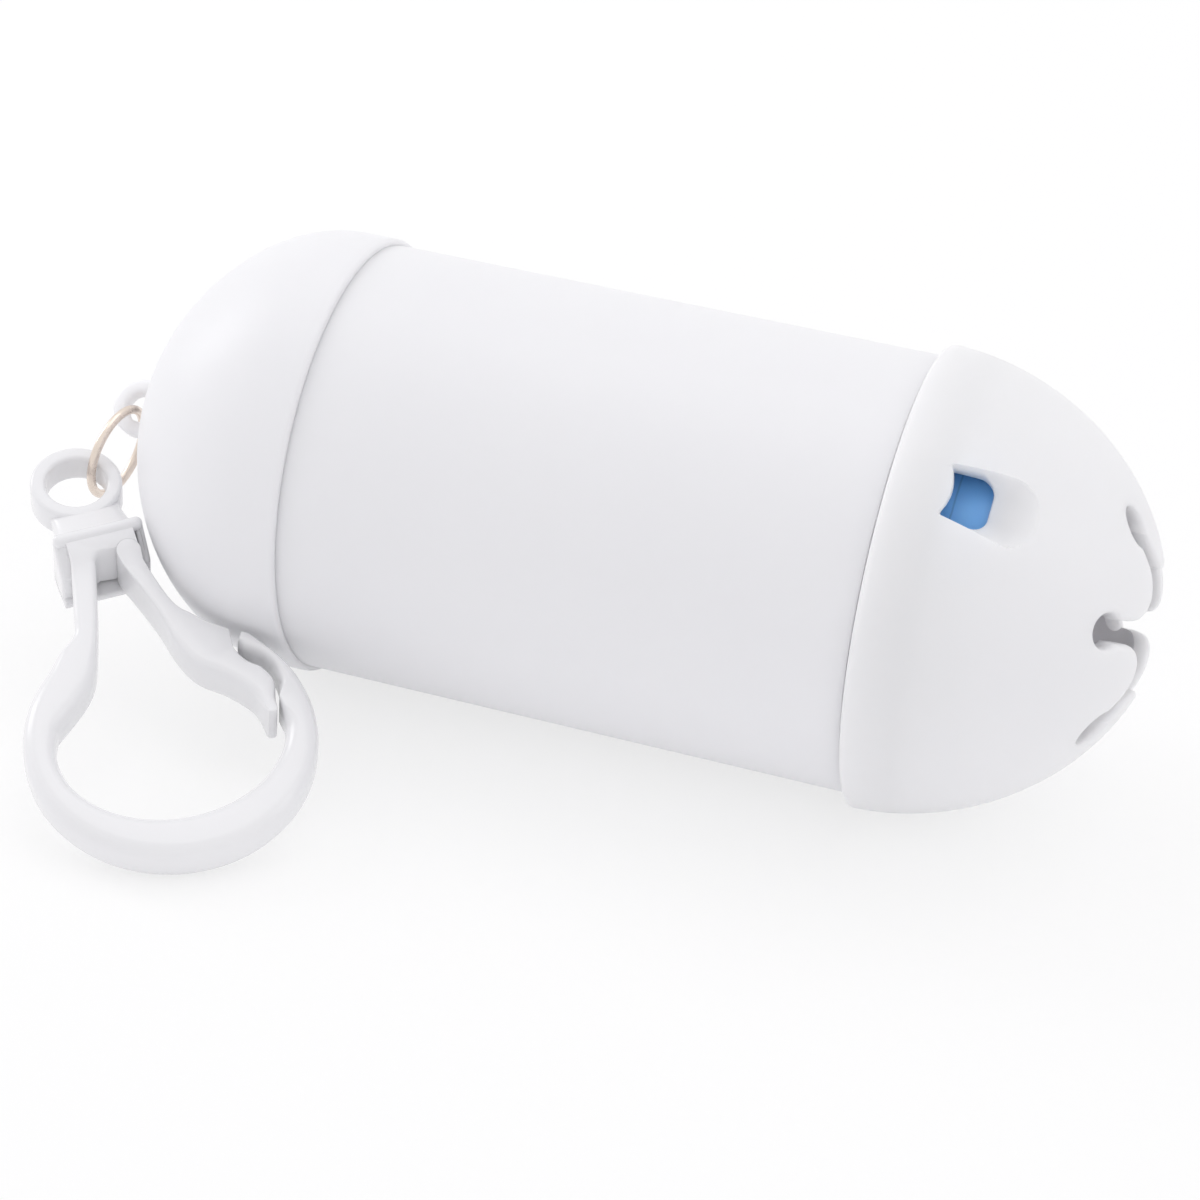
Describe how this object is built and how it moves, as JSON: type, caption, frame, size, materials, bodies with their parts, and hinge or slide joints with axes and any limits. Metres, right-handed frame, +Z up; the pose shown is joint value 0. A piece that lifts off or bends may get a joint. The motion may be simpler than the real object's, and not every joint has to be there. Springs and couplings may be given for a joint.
{
  "type": "pet waste bag dispenser",
  "caption": "Capsule-shaped holder for a roll of pet waste bags, with a pull-off dome that lets bags out through a star-shaped opening, and a snap hook on a small ring.",
  "frame": {"origin": "on the table, straight below the middle of the barrel", "axes": "+X along the barrel towards the cap that lets the bags out, +Z up from the table, the hook lies on the -Y side"},
  "size_m": [0.0985, 0.0615, 0.0402],
  "materials": {
    "barrel_plastic": "moulded, satin, very light grey-white",
    "dome_plastic": "moulded, satin, white",
    "cap_plastic": "moulded, satin, white",
    "core_paper": "plain grey-brown board",
    "bag_film": "thin blue film, wound tight, slight sheen",
    "ring_wire": "nickel-plated wire",
    "hook_plastic": "moulded, semi-gloss, white"
  },
  "bodies": {
    "barrel_body": {"barrel": "barrel_plastic", "end_dome": "dome_plastic"},
    "cap": {"dispensing_cap": "cap_plastic"},
    "roll": {"roll_core": "core_paper", "bag_roll": "bag_film"},
    "ring": {"jump_ring": "ring_wire"},
    "hook": {"hook_eye": "hook_plastic", "hook_frame": "hook_plastic"},
    "gate": {"hook_gate": "hook_plastic"}
  },
  "joints": [
    {"name": "cap_pull", "type": "slide", "parent": "barrel_body", "child": "cap", "axis": [1, 0, 0], "range_m": [0, 0.04]},
    {"name": "roll_spin", "type": "hinge", "parent": "barrel_body", "child": "roll", "pos_m": [0, 0, 0.0201], "axis": [1, 0, 0], "continuous": true},
    {"name": "ring_swing", "type": "hinge", "parent": "barrel_body", "child": "ring", "pos_m": [-0.04575, 0, 0.0201], "axis": [0, -0.7071, 0.7071], "range_deg": [-90, 0]},
    {"name": "hook_swing", "type": "hinge", "parent": "ring", "child": "hook", "pos_m": [-0.04804, -0.00906, 0.0157], "axis": [0.1402, -0.3183, 0.9376], "range_deg": [-90, 0]},
    {"name": "gate_press", "type": "hinge", "parent": "hook", "child": "gate", "pos_m": [-0.04044, -0.01436, 0.01277], "axis": [0.1402, -0.3183, 0.9376], "range_deg": [-18, 0], "stiffness_Nm_per_rad": 0.02}
  ]
}
